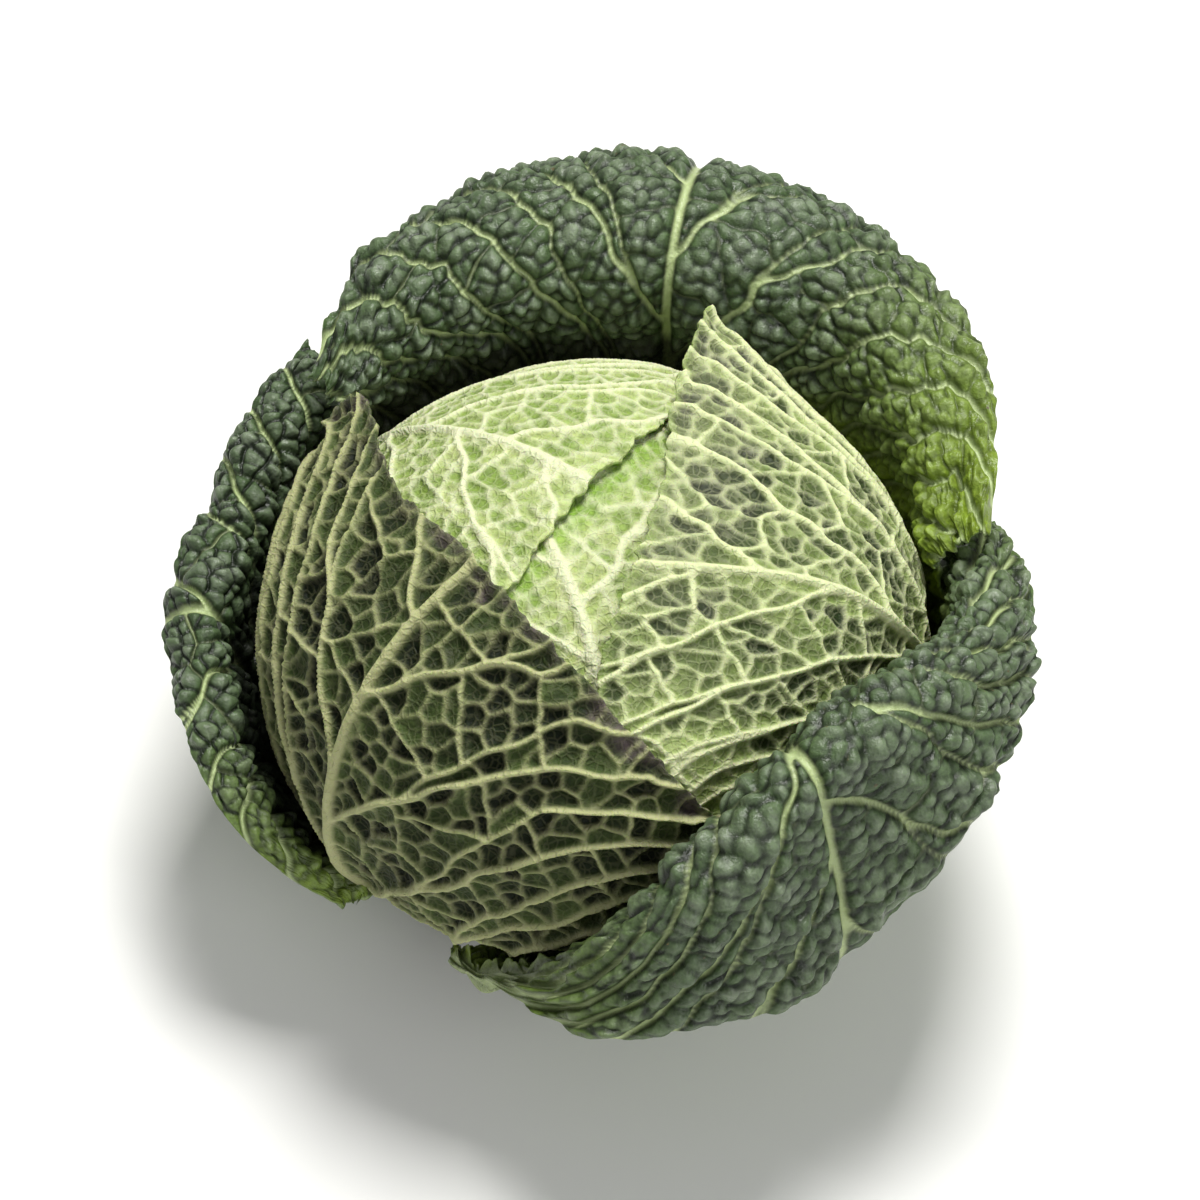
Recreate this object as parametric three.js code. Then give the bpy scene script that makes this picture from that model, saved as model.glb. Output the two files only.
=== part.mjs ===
// A savoy cabbage, trimmed and cut from its root, standing on its cut stem.
// It is a stack of leaves round one stem: a tight heart, four leaves that wrap the head, and three
// looser leaves that stand round it. Leaves leave the stem one golden angle apart, from the oldest,
// lowest and outermost to the youngest. Millimetres, +Z up, origin at the middle of the cut face.
import * as THREE from 'three';

// ---- Driving dimensions ----
const HEART_RADIUS = 74;      // widest radius of the tight ball of inner leaves
const HEART_HALF_HEIGHT = 56; // half of its height along the stem
const HEAD_CENTRE_Z = 84;     // height of the heart's middle above the cut face
const SQUARENESS = 0.85;      // power of the superellipse: 1 is an ellipse, less is boxier
const RISE_PER_LAYER = 0.8;   // a leaf that lies 1 mm further out lies this much further down or up
const LEAF_THICKNESS = 1.6;   // leaf blade with its blisters taken as one even wall
const STEM_RADIUS = 18;       // at the cut face
const STEM_TOP_RADIUS = 15;   // where the leaves stand on it
const STEM_SHOULDER_Z = 8;    // height of the trimmed, thicker foot
const GAP = 0.5;              // clearance between pieces that touch
const PETIOLE_SHARE = 0.45;   // width at the stem as a share of the full width
const TUCKED_SHARE = 0.4;     // how much of its belly a leaf keeps where it is tucked under another
const WIDE_AT = 62;           // angle from straight down at which a leaf has reached its full width
const RISE_SHARE = 0.5;       // share of a loose leaf's length that runs from the stem up to its crest
const FLARE_WIDTH = 0.28;     // how wide a standing corner is, as a share of half a leaf
const FLARE_POWER = 6;        // how late a corner starts to stand off: higher is nearer the tip
const VEER_FROM = 60;         // angles from straight down between which a midrib bends sideways
const VEER_TO = 120;
const NOT_TUCKED = [-9, -8];  // places left of every leaf, so that no part of it is held down

const radians = THREE.MathUtils.degToRad;
const clamp = THREE.MathUtils.clamp;
const lerp = THREE.MathUtils.lerp;
const smooth = THREE.MathUtils.smoothstep;
const signedPower = (x, p) => Math.sign(x) * Math.abs(x) ** p;

// A smooth curve through evenly spaced values, read at s from -1 to 1 (Catmull-Rom).
function across(values, s) {
  const last = values.length - 1;
  const x = clamp((s + 1) / 2, 0, 1) * last;
  const i = Math.min(Math.floor(x), last - 1);
  const f = x - i;
  const [a, b, c, d] = [-1, 0, 1, 2].map((k) => values[clamp(i + k, 0, last)]);
  return b + 0.5 * f * (c - a + f * (2 * a - 5 * b + 4 * c - d + f * (3 * (b - c) + d - a)));
}

// The point of the head's superellipsoid, grown by a layer, in a given unit direction.
function onHead(direction, layer) {
  const level = Math.hypot(direction.x, direction.y);
  const radius = (HEART_RADIUS + layer) * Math.max(level, 1e-6) ** (SQUARENESS - 1);
  const height = (HEART_HALF_HEIGHT + RISE_PER_LAYER * layer) * signedPower(direction.z, SQUARENESS);
  return new THREE.Vector3(direction.x * radius, direction.y * radius, HEAD_CENTRE_Z + height);
}

// The angle from straight down, in degrees, at which a leaf of a layer leaves the side of the stem.
function startAngle(layer) {
  const radius = STEM_TOP_RADIUS + GAP + LEAF_THICKNESS;
  return THREE.MathUtils.radToDeg(Math.asin((radius / (HEART_RADIUS + layer)) ** (1 / SQUARENESS)));
}

// How wide a leaf has grown at an angle beta from straight down, as a share of its full width.
function widthShare(beta, start) {
  return lerp(PETIOLE_SHARE, 1, smooth(beta, start, WIDE_AT));
}

// A leaf that wraps the head: its midrib runs up one meridian and over the top, and its two halves
// run out at right angles to it. s runs from the left margin (-1) to the right (1), t from base to top.
function headLeaf(leaf) {
  const azimuth = radians(leaf.azimuth);
  const start = startAngle(leaf.layer);
  const out = new THREE.Vector3(Math.sin(azimuth), -Math.cos(azimuth), 0);
  const side = new THREE.Vector3(Math.cos(azimuth), Math.sin(azimuth), 0);
  return (s, t) => {
    const beta = lerp(start, across(leaf.top, s), t);
    const reach = s < 0 ? leaf.left : leaf.right;
    const bend = leaf.veer * ((beta - 90) / 90) * smooth(beta, VEER_FROM, VEER_TO);
    const psi = radians(s * reach * widthShare(beta, start) + bend);
    const arc = radians(beta);
    const direction = new THREE.Vector3()
      .addScaledVector(out, Math.cos(psi) * Math.sin(arc))
      .addScaledVector(side, Math.sin(psi));
    direction.z -= Math.cos(psi) * Math.cos(arc);
    const tuck = lerp(TUCKED_SHARE, 1, smooth(s, leaf.tuck[0], leaf.tuck[1]));
    const belly = leaf.belly * Math.sin(Math.PI * t) ** 1.5 * (1 - s * s) * tuck;
    const corner = leaf.flare * Math.exp(-(((s - leaf.flareAt) / FLARE_WIDTH) ** 2)) * t ** FLARE_POWER;
    return onHead(direction, leaf.layer + belly + corner);
  };
}

// A leaf that stands round the head: it follows the head up to a crest, rolls outwards over it,
// and hangs down outside. Crest height, roll radius and reach change from one margin to the other.
function outerLeaf(leaf) {
  const start = radians(startAngle(leaf.layer));
  return (s, t) => {
    const a = HEART_RADIUS + leaf.layer;
    const c = HEART_HALF_HEIGHT + RISE_PER_LAYER * leaf.layer;
    const crest = across(leaf.crest, s);
    const crestBeta = Math.acos(-signedPower(clamp(crest / c, -1, 1), 1 / SQUARENESS));
    const rise = Math.min(t / RISE_SHARE, 1);
    const beta = lerp(start, crestBeta, rise);
    let radius = a * Math.sin(beta) ** SQUARENESS + across(leaf.lean, s) * rise ** 4;
    let height = -c * signedPower(Math.cos(beta), SQUARENESS);
    const beyond = Math.max(t - RISE_SHARE, 0) / (1 - RISE_SHARE) * across(leaf.reach, s);
    if (beyond > 0) {
      const roll = across(leaf.roll, s);
      const fall = radians(across(leaf.fall, s));
      const leave = Math.atan2(c * Math.abs(Math.cos(crestBeta)) ** (SQUARENESS - 1) * Math.sin(crestBeta),
        a * Math.sin(crestBeta) ** (SQUARENESS - 1) * Math.cos(crestBeta));
      const turned = Math.max(leave - beyond / roll, fall);
      const straight = Math.max(beyond - (leave - fall) * roll, 0);
      radius += roll * (Math.sin(leave) - Math.sin(turned)) + straight * Math.cos(fall);
      height += roll * (Math.cos(turned) - Math.cos(leave)) + straight * Math.sin(fall);
    }
    const reach = s < 0 ? leaf.left : leaf.right;
    const share = widthShare(THREE.MathUtils.radToDeg(beta), THREE.MathUtils.radToDeg(start));
    const azimuth = radians(leaf.azimuth + s * reach * share);
    return new THREE.Vector3(Math.sin(azimuth) * radius, -Math.cos(azimuth) * radius, HEAD_CENTRE_Z + height);
  };
}

// ---- Solids ----

// A closed wall of even thickness on a surface of (s, t), with its rim squared off.
function wall(surface, columns, rows) {
  const step = 1e-3;
  const points = [];
  for (const face of [0.5, -0.5]) {
    for (let j = 0; j <= rows; j++) {
      for (let i = 0; i <= columns; i++) {
        const s = lerp(-1, 1, i / columns);
        const t = j / rows;
        const along = surface(s, Math.min(t + step, 1)).sub(surface(s, Math.max(t - step, 0)));
        const over = surface(Math.min(s + step, 1), t).sub(surface(Math.max(s - step, -1), t));
        const normal = over.cross(along).normalize();
        points.push(surface(s, t).addScaledVector(normal, face * LEAF_THICKNESS));
      }
    }
  }
  const at = (face, i, j) => face * (rows + 1) * (columns + 1) + j * (columns + 1) + i;
  const faces = [];
  const quad = (a, b, c, d) => faces.push(a, b, c, a, c, d);
  for (let j = 0; j < rows; j++) {
    for (let i = 0; i < columns; i++) {
      quad(at(0, i, j), at(0, i + 1, j), at(0, i + 1, j + 1), at(0, i, j + 1));
      quad(at(1, i, j), at(1, i, j + 1), at(1, i + 1, j + 1), at(1, i + 1, j));
    }
  }
  for (let i = 0; i < columns; i++) {
    quad(at(1, i, 0), at(1, i + 1, 0), at(0, i + 1, 0), at(0, i, 0));
    quad(at(0, i, rows), at(0, i + 1, rows), at(1, i + 1, rows), at(1, i, rows));
  }
  for (let j = 0; j < rows; j++) {
    quad(at(0, 0, j), at(0, 0, j + 1), at(1, 0, j + 1), at(1, 0, j));
    quad(at(1, columns, j), at(1, columns, j + 1), at(0, columns, j + 1), at(0, columns, j));
  }
  const geometry = new THREE.BufferGeometry().setFromPoints(points);
  geometry.setIndex(faces);
  geometry.computeVertexNormals();
  return geometry;
}

// The tight ball of inner leaves: the head's superellipsoid, cut flat where it sits on the stem.
const HEART_FOOT_Z = HEAD_CENTRE_Z - HEART_HALF_HEIGHT + 1;
function heartSolid() {
  const profile = [];
  const steps = 16;
  for (let j = 0; j <= steps; j++) {
    const beta = Math.PI * j / steps;
    const radius = HEART_RADIUS * Math.sin(beta) ** SQUARENESS;
    const z = HEAD_CENTRE_Z - HEART_HALF_HEIGHT * signedPower(Math.cos(beta), SQUARENESS);
    profile.push(new THREE.Vector2(j === 0 || j === steps ? 0 : radius, Math.max(z, HEART_FOOT_Z)));
  }
  return new THREE.LatheGeometry(profile, 32).rotateX(Math.PI / 2);
}

// The cut stem: a short stump that tapers up into the head.
function stemSolid() {
  const top = HEART_FOOT_Z - GAP;
  const outline = [[0, 0], [STEM_RADIUS, 0], [STEM_RADIUS, STEM_SHOULDER_Z / 2],
    [STEM_TOP_RADIUS, STEM_SHOULDER_Z], [STEM_TOP_RADIUS, top], [0, top]];
  return new THREE.LatheGeometry(outline.map(([r, z]) => new THREE.Vector2(r, z)), 32).rotateX(Math.PI / 2);
}

// ---- The leaves, from the youngest to the oldest ----
// azimuth: where the midrib stands, in degrees from the front (-Y), turning towards +X.
// left, right: how far the two halves reach, in degrees. top: angle of the top margin from straight
// down, at seven places from the left margin to the right. layer: how far outside the heart it lies.
// belly, flare: how far its middle and its free corner stand off. veer: sideways bend of the midrib.
// tuck: the two places between which the leaf comes out from under its neighbour.
const HEAD_LEAVES = [
  { name: 'inner_leaf', azimuth: 10, left: 62, right: 62, top: [170, 195, 205, 208, 205, 195, 170],
    layer: 3, belly: 0, tuck: NOT_TUCKED, flare: 0, flareAt: 0, veer: -10, colour: 0xc4d68a },
  { name: 'crown_leaf', azimuth: -127.5, left: 74, right: 74, top: [150, 172, 178, 179, 180, 176, 150],
    layer: 6, belly: 0.5, tuck: NOT_TUCKED, flare: 0, flareAt: 0, veer: 0, colour: 0xc9dc96 },
  { name: 'right_head_leaf', azimuth: 80, left: 60, right: 66, top: [150, 168, 172, 172, 171, 170, 164],
    layer: 9, belly: 6, tuck: [-0.7, 0], flare: 17, flareAt: 0.9, veer: -15, colour: 0x9cb276 },
  { name: 'left_head_leaf', azimuth: -50, left: 72, right: 70, top: [140, 162, 156, 157, 153, 146, 134],
    layer: 13.5, belly: 3, tuck: NOT_TUCKED, flare: 9, flareAt: -0.72, veer: 0, colour: 0x5a6b3e },
];
// crest: height of the fold above the head's middle. lean: how far the wall stands off the head at
// the fold. roll: radius of the fold. fall: slope at which the leaf runs on beyond it, in degrees.
// reach: length of leaf beyond the fold. Each is given at seven places from the left to the right.
const OUTER_LEAVES = [
  { name: 'back_outer_leaf', azimuth: 168, left: 73, right: 62, layer: 19,
    crest: [20, 21, 22, 24, 24, 23, 20], lean: [2, 4, 6, 6, 6, 5, 2],
    roll: [10, 18, 22, 25, 23, 18, 13], fall: [10, -40, -70, -75, -70, -60, 0],
    reach: [20, 44, 74, 98, 78, 50, 20], colour: 0x3f5a33, rows: 22, columns: 18 },
  { name: 'front_outer_leaf', azimuth: 33, left: 69, right: 72, layer: 21.6,
    crest: [-52, -32, 15, 37, 34, 22, 8], lean: [0, 0, 0, -1, 0, 1, 3],
    roll: [6, 7, 8, 9, 9, 8, 8], fall: [40, -30, -70, -75, -60, -50, -40],
    reach: [4, 10, 54, 86, 56, 36, 20], colour: 0x42593a, rows: 24, columns: 20 },
  { name: 'left_outer_leaf', azimuth: -92, left: 47, right: 44, layer: 22,
    crest: [12, 9, 4, 0, -8, -20, -42], lean: [8, 6, 4, 5, 4, 3, 0],
    roll: [7, 7, 7, 7, 7, 7, 7], fall: [0, -15, -30, -35, -35, -20, 20],
    reach: [26, 22, 20, 22, 17, 14, 8], colour: 0x3c4f33, rows: 18, columns: 16 },
];

function piece(name, geometry, colour, roughness) {
  const material = new THREE.MeshStandardMaterial({ color: colour, roughness, metalness: 0 });
  const mesh = new THREE.Mesh(geometry, material);
  mesh.name = name;
  return mesh;
}

const cabbage = new THREE.Group();
cabbage.add(piece('stem', stemSolid(), 0xd9dcae, 0.7));
cabbage.add(piece('heart', heartSolid(), 0xc8d896, 0.55));
for (const leaf of HEAD_LEAVES) {
  cabbage.add(piece(leaf.name, wall(headLeaf(leaf), 16, 16), leaf.colour, 0.55));
}
for (const leaf of OUTER_LEAVES) {
  cabbage.add(piece(leaf.name, wall(outerLeaf(leaf), leaf.columns, leaf.rows), leaf.colour, 0.5));
}
export default cabbage;
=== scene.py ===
# %% [markdown]
# # A savoy cabbage
# A cabbage is a stack of leaves round one short stem. The oldest leaves are the lowest and
# outermost, and each next leaf stands about 137.5 degrees further round, so every leaf fills the
# widest gap left by the ones before it. What makes it a savoy is the leaf itself: the blade grows faster
# than its net of veins and puffs up between them into blisters. Seen from above a leaf is all
# bumps; seen from below it is all pits between raised, pale veins. This lesson builds the net
# first, because the blisters, the pits, the ridges and the colours all follow from it.

# %% Start from the shared frame
import bpy
import numpy as np
from mathutils import Matrix, Vector


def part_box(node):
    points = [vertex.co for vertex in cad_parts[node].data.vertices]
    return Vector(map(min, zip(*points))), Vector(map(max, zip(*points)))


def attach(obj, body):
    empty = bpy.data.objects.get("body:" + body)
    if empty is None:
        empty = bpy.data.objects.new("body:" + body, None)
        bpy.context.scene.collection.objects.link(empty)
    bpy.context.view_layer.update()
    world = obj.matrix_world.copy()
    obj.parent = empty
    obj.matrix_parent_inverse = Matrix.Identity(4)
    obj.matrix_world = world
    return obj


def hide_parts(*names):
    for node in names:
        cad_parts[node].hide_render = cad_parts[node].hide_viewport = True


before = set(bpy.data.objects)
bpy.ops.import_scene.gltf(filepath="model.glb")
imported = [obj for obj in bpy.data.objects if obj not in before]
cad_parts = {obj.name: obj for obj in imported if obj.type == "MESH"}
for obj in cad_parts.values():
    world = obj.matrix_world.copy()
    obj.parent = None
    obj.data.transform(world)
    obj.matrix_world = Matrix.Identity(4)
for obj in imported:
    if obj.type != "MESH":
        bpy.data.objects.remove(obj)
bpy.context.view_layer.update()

print("frame nodes:", ", ".join(sorted(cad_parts)))

# %% [markdown]
# ## One set of measures
# Every leaf hugs the same ball, so the ball's size is read from the heart that came with the
# frame, and each leaf only says how many millimetres it lies outside it. The ball is a
# superellipse turned round the stem: a little boxier than an ellipse, as a tight head is.

# %% Measures of the head, in millimetres
MM = 0.001
heart_low, heart_high = (np.array(corner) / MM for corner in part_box("heart"))
HEART_RADIUS = (heart_high[0] - heart_low[0]) / 2
HEART_HALF_HEIGHT = 56.0
CENTRE_Z = heart_high[2] - HEART_HALF_HEIGHT
SQUARENESS = 0.85
RISE_PER_LAYER = 0.8
STEM_RADIUS = 18.0
STEM_NECK_RADIUS = 15.0
STEM_TOP_Z = heart_low[2] - 0.5
LEAF_BASE_RADIUS = STEM_NECK_RADIUS + 2.1
FOLD_AT = 0.5  # share of a loose leaf's length that runs from the stem to its fold
BLADE_THICKNESS = 0.55
print(f"head radius {HEART_RADIUS:.1f} mm, middle {CENTRE_Z:.1f} mm above the cut face")

# %% [markdown]
# ## Helpers for curves and chance
# A margin is given at a few places from the leaf's left to its right and smoothed in between.
# Chance comes from one seeded generator per leaf, so the cabbage grows the same every time.


# %% Smooth curves, smooth noise
def across(values, s):
    """Catmull-Rom curve through evenly spaced values, read at s from -1 (left) to 1 (right)."""
    last = len(values) - 1
    x = np.clip((s + 1) / 2, 0, 1) * last
    i = np.minimum(x.astype(int), last - 1)
    f = x - i
    a, b, c, d = (np.asarray(values, float)[np.clip(i + k, 0, last)] for k in (-1, 0, 1, 2))
    return b + 0.5 * f * (c - a + f * (2 * a - 5 * b + 4 * c - d + f * (3 * (b - c) + d - a)))


def ease(x, low, high):
    """0 below low, 1 above high, and a smooth cubic step in between."""
    u = np.clip((x - low) / (high - low), 0, 1)
    return u * u * (3 - 2 * u)


def signed_power(x, power):
    """|x| to a power, with the sign of x."""
    return np.sign(x) * np.abs(x) ** power


def swell(u, v, size, rng, waves=9):
    """Smooth noise, mostly from -1 to 1: a sum of plane waves of about that size in random
    directions, divided by the square root of their number."""
    total = np.zeros(np.broadcast(u, v).shape)
    for angle, phase, stretch in zip(rng.uniform(0, 2 * np.pi, waves), rng.uniform(0, 2 * np.pi, waves),
                                     rng.uniform(0.7, 1.6, waves)):
        total += np.sin((u * np.cos(angle) + v * np.sin(angle)) * 2 * np.pi / (size * stretch) + phase)
    return total / waves ** 0.5


def ragged(length, teeth, rng):
    """A torn line: straight runs between random heights at every tooth, in three sizes of tooth."""
    line = np.zeros(np.shape(length))
    for octave in (1, 2.3, 5.1):
        knots = np.arange(0, np.max(length) + 2 * teeth, teeth / octave)
        line += np.interp(length, knots, rng.uniform(-1, 1, len(knots))) / octave ** 0.7
    return line


# %% [markdown]
# ## The two kinds of leaf
# A wrapper leaf runs up one meridian of the head and over the top, with its halves reaching
# sideways at right angles to it, as two hands cup a ball. A loose leaf follows the head only up
# to a fold, rolls outwards over it and hangs down outside.


# %% A point on the head
WIDTH_AT_STEM = 0.45
FULL_WIDTH_ANGLE = 62.0


def start_angle(layer):
    """Degrees from straight down at which a leaf of this layer leaves the stem: the angle where
    its surface is as wide as the ring of leaf bases."""
    level = (LEAF_BASE_RADIUS / (HEART_RADIUS + layer)) ** (1 / SQUARENESS)
    return np.degrees(np.arcsin(level))


def width_share(beta, start):
    """How wide a leaf has grown at the angle beta from straight down: narrow at the stem, then 1."""
    return WIDTH_AT_STEM + (1 - WIDTH_AT_STEM) * ease(beta, start, FULL_WIDTH_ANGLE)


def on_head(level_x, level_y, upward, layer):
    """Superellipsoid: the unit direction's level part times radius * level ** (n - 1), its upward
    part to the power n times the half height."""
    level = np.maximum(np.hypot(level_x, level_y), 1e-6)
    radius = (HEART_RADIUS + layer) * level ** (SQUARENESS - 1)
    height = (HEART_HALF_HEIGHT + RISE_PER_LAYER * layer) * signed_power(upward, SQUARENESS)
    return np.stack([level_x * radius, level_y * radius, CENTRE_Z + height], -1)


# %% A wrapper leaf
VEER_FROM, VEER_TO = 60, 120
TUCKED_SHARE = 0.4
FLARE_WIDTH = 0.28
FLARE_POWER = 6


def wrapper_surface(leaf, s, t):
    """Arc beta up the midrib's meridian and arc psi sideways from it give the direction
    out * cos(psi) sin(beta) + side * sin(psi) - up * cos(psi) cos(beta). The belly swells the
    middle of the leaf, less where it is tucked, and the flare lifts one corner of its tip."""
    azimuth = np.radians(leaf["azimuth"])
    start = start_angle(leaf["layer"])
    beta = start + (across(leaf["top"], s) - start) * t
    reach = np.where(s < 0, leaf["left"], leaf["right"])
    veer = leaf["veer"] * (beta - 90) / 90 * ease(beta, VEER_FROM, VEER_TO)
    psi = np.radians(s * reach * width_share(beta, start) + veer)
    arc = np.radians(beta)
    out, side = np.cos(psi) * np.sin(arc), np.sin(psi)
    tuck = TUCKED_SHARE + (1 - TUCKED_SHARE) * ease(s, *leaf["tuck"])
    belly = leaf["belly"] * np.sin(np.pi * np.clip(t, 0, 1)) ** 1.5 * (1 - np.clip(s * s, 0, 1)) * tuck
    corner = leaf["flare"] * np.exp(-(((s - leaf["flare_at"]) / FLARE_WIDTH) ** 2)) * t**FLARE_POWER
    return on_head(out * np.sin(azimuth) + side * np.cos(azimuth),
                   side * np.sin(azimuth) - out * np.cos(azimuth),
                   -np.cos(psi) * np.cos(arc), leaf["layer"] + belly + corner)


# %% A loose leaf
def loose_surface(leaf, s, t):
    """Up the head to the fold, then a circle of the fold's radius that turns from the wall's slope
    to the hanging slope, then straight on. Beyond the fold every length is measured in millimetres."""
    a = HEART_RADIUS + leaf["layer"]
    c = HEART_HALF_HEIGHT + RISE_PER_LAYER * leaf["layer"]
    fold_beta = np.arccos(-signed_power(np.clip(across(leaf["crest"], s) / c, -1, 1), 1 / SQUARENESS))
    start = np.radians(start_angle(leaf["layer"]))
    rise = np.minimum(t / FOLD_AT, 1)
    beta = start + (fold_beta - start) * rise
    radius = a * np.sin(beta) ** SQUARENESS + across(leaf["lean"], s) * rise**4
    height = -c * signed_power(np.cos(beta), SQUARENESS)
    beyond = np.maximum(t - FOLD_AT, 0) / (1 - FOLD_AT) * across(leaf["reach"], s)
    roll = across(leaf["roll"], s)
    fall = np.radians(across(leaf["fall"], s))
    leave = np.arctan2(c * np.abs(np.cos(fold_beta)) ** (SQUARENESS - 1) * np.sin(fold_beta),
                       a * np.sin(fold_beta) ** (SQUARENESS - 1) * np.cos(fold_beta))
    turned = np.maximum(leave - beyond / roll, fall)
    straight = np.maximum(beyond - (leave - fall) * roll, 0)
    radius = radius + roll * (np.sin(leave) - np.sin(turned)) + straight * np.cos(fall)
    height = height + roll * (np.cos(turned) - np.cos(leave)) + straight * np.sin(fall)
    reach = np.where(s < 0, leaf["left"], leaf["right"])
    share = width_share(np.degrees(beta), np.degrees(start))
    azimuth = np.radians(leaf["azimuth"] + s * reach * share)
    return np.stack([np.sin(azimuth) * radius, -np.cos(azimuth) * radius, CENTRE_Z + height], -1)


# %% [markdown]
# ## Laying a leaf out flat
# The veins are drawn in the leaf's own measures: how far a point is from the midrib, and how far
# up the leaf it is. Both are lengths in millimetres, added up from point to point of the grid.


# %% The blade: a grid of points with its own lengths and normals
TYPICAL_LENGTH = 180.0
RIM_POWER = 10  # keeps the tears close to the margin


def blade(leaf, columns, rows):
    """Grid over (s, t), with torn margins: s and t stretch near the rim by a ragged line. Rows lie
    closer where the leaf is seen. x and y are running sums of the steps from point to point."""
    rng = np.random.default_rng(leaf["seed"])
    surface = loose_surface if "crest" in leaf else wrapper_surface
    s_line = np.linspace(-1, 1, columns + 1)
    t_line = np.interp(np.linspace(0, 1, rows + 1), [0, leaf["dense"][0], 1], [0, leaf["dense"][1], 1])
    s, t = np.meshgrid(s_line, t_line)
    half = TYPICAL_LENGTH / 2
    top = ragged((s_line + 1) * half, leaf["teeth"], rng) * leaf["torn"] / TYPICAL_LENGTH
    sides = [ragged(t_line * TYPICAL_LENGTH, leaf["teeth"], rng) * leaf["torn"] / half for _ in range(2)]
    torn_t = t * (1 + top[None, :] * t**RIM_POWER)
    torn_s = s * (1 + np.where(s < 0, sides[0][:, None], sides[1][:, None]) * np.abs(s) ** RIM_POWER)
    points = surface(leaf, torn_s, torn_t)
    step_s = np.gradient(points, axis=1)
    step_t = np.gradient(points, axis=0)
    normal = np.cross(step_s, step_t)
    normal /= np.maximum(np.linalg.norm(normal, axis=-1, keepdims=True), 1e-9)
    length_s = np.linalg.norm(np.diff(points, axis=1), axis=-1)
    length_t = np.linalg.norm(np.diff(points, axis=0), axis=-1)
    x = np.concatenate([np.zeros((rows + 1, 1)), np.cumsum(length_s, 1)], 1)
    middle = columns // 2
    x -= x[:, middle:middle + 1]
    y_here = np.concatenate([np.zeros((1, columns + 1)), np.cumsum(length_t, 0)], 0)
    y = np.repeat(y_here[:, middle:middle + 1], columns + 1, 1)
    side_gap = np.minimum(x - x[:, :1], x[:, -1:] - x)
    rim = np.minimum(side_gap, y_here[-1:] - y_here)
    steps = np.linalg.norm(step_s, axis=-1), np.linalg.norm(step_t, axis=-1)
    azimuth = np.radians(leaf["azimuth"])
    grain_way = np.array([np.sin(azimuth), -np.cos(azimuth), 0])
    return {"s": s, "t": t, "points": points, "normal": normal, "x": x, "y": y, "steps": steps, "rim": rim,
            "grain_way": grain_way, "rng": rng, "end": y[-1, 0]}


# %% [markdown]
# ## The net of veins
# Side veins leave the midrib at a slant and bend towards the tip. Between two of them the blade
# is split into fields, each field into cells and each cell into grains. Pieces that meet along a
# wall are what a Voronoi diagram gives: scatter seeds, give each point to its nearest seed, and
# the walls are where two seeds are equally near. A point only looks at the seeds of its own
# field or cell, so every vein ends on a thicker one, as in a real leaf.


# %% Seeds, scattered but never too close
BATCH = 500


def scatter(points, spacing, rng, tries):
    """Tries random points in batches. One is kept if it is further than the spacing from all kept
    ones and from all earlier ones of its batch: |a - b| ** 2 = |a| ** 2 + |b| ** 2 - 2 a.b."""
    order = rng.permutation(len(points))[:tries]
    square = (points**2).sum(1)
    kept = order[:1]
    for start in range(1, len(order), BATCH):
        batch = order[start:start + BATCH]
        gap = square[batch][:, None] + square[kept][None] - 2 * points[batch] @ points[kept].T
        free = batch[gap.min(1) > spacing**2]
        gap = square[free][:, None] + square[free][None] - 2 * points[free] @ points[free].T
        kept = np.concatenate([kept, free[~np.tril(gap < spacing**2, -1).any(1)]])
    return kept


# %% Distance to the nearest wall
FAR = 200.0
TILE = 20


def walls(points, group, seeds, spacing):
    """A point belongs to the nearest seed of its own group, and the wall to a rival seed is
    (d2 ** 2 - d1 ** 2) / (2 * gap between the seeds) away. The grid is worked through in tiles,
    each with only the seeds around it. Returns the distance to the wall, the distance to the own
    seed, and that seed."""
    place = points.reshape(-1, 3)[seeds]
    seed_group = group.ravel()[seeds]
    wall = np.empty(group.shape, np.float32)
    away = np.empty(group.shape, np.float32)
    owner = np.empty(group.shape, int)
    for top in range(0, group.shape[0], TILE):
        for left in range(0, group.shape[1], TILE):
            part = slice(top, top + TILE), slice(left, left + TILE)
            p = points[part].reshape(-1, 3)
            close = ((place > p.min(0) - 3 * spacing) & (place < p.max(0) + 3 * spacing)).all(1)
            close = np.flatnonzero(close) if close.sum() > 1 else np.arange(len(seeds))
            gap = ((p[:, None] - place[close][None]) ** 2).sum(-1)
            gap += FAR**2 * (group[part].reshape(-1, 1) != seed_group[close][None])
            own = gap.argmin(1)
            least = gap.min(1, keepdims=True)
            apart = np.linalg.norm(place[close][None] - place[close][own][:, None], axis=-1)
            to_wall = (gap - least) / (2 * np.maximum(apart, 1e-3))
            to_wall[np.arange(len(p)), own] = FAR
            wall[part] = to_wall.min(1).reshape(group[part].shape)
            away[part] = np.sqrt(least).reshape(group[part].shape)
            owner[part] = close[own].reshape(group[part].shape)
    return wall, away, owner


# %% The side veins of one leaf
FORK_OPENS = 60.0  # millimetres over which a fork would open to the next side vein
MIDRIB_SWAY, MIDRIB_WAVE = 1.5, 90
KINKS = ((2.4, 60), (1.3, 17))  # height and size of the bends in the side veins
BEND_TO_TIP = 0.4
FORK_PLACES = 200


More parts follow.
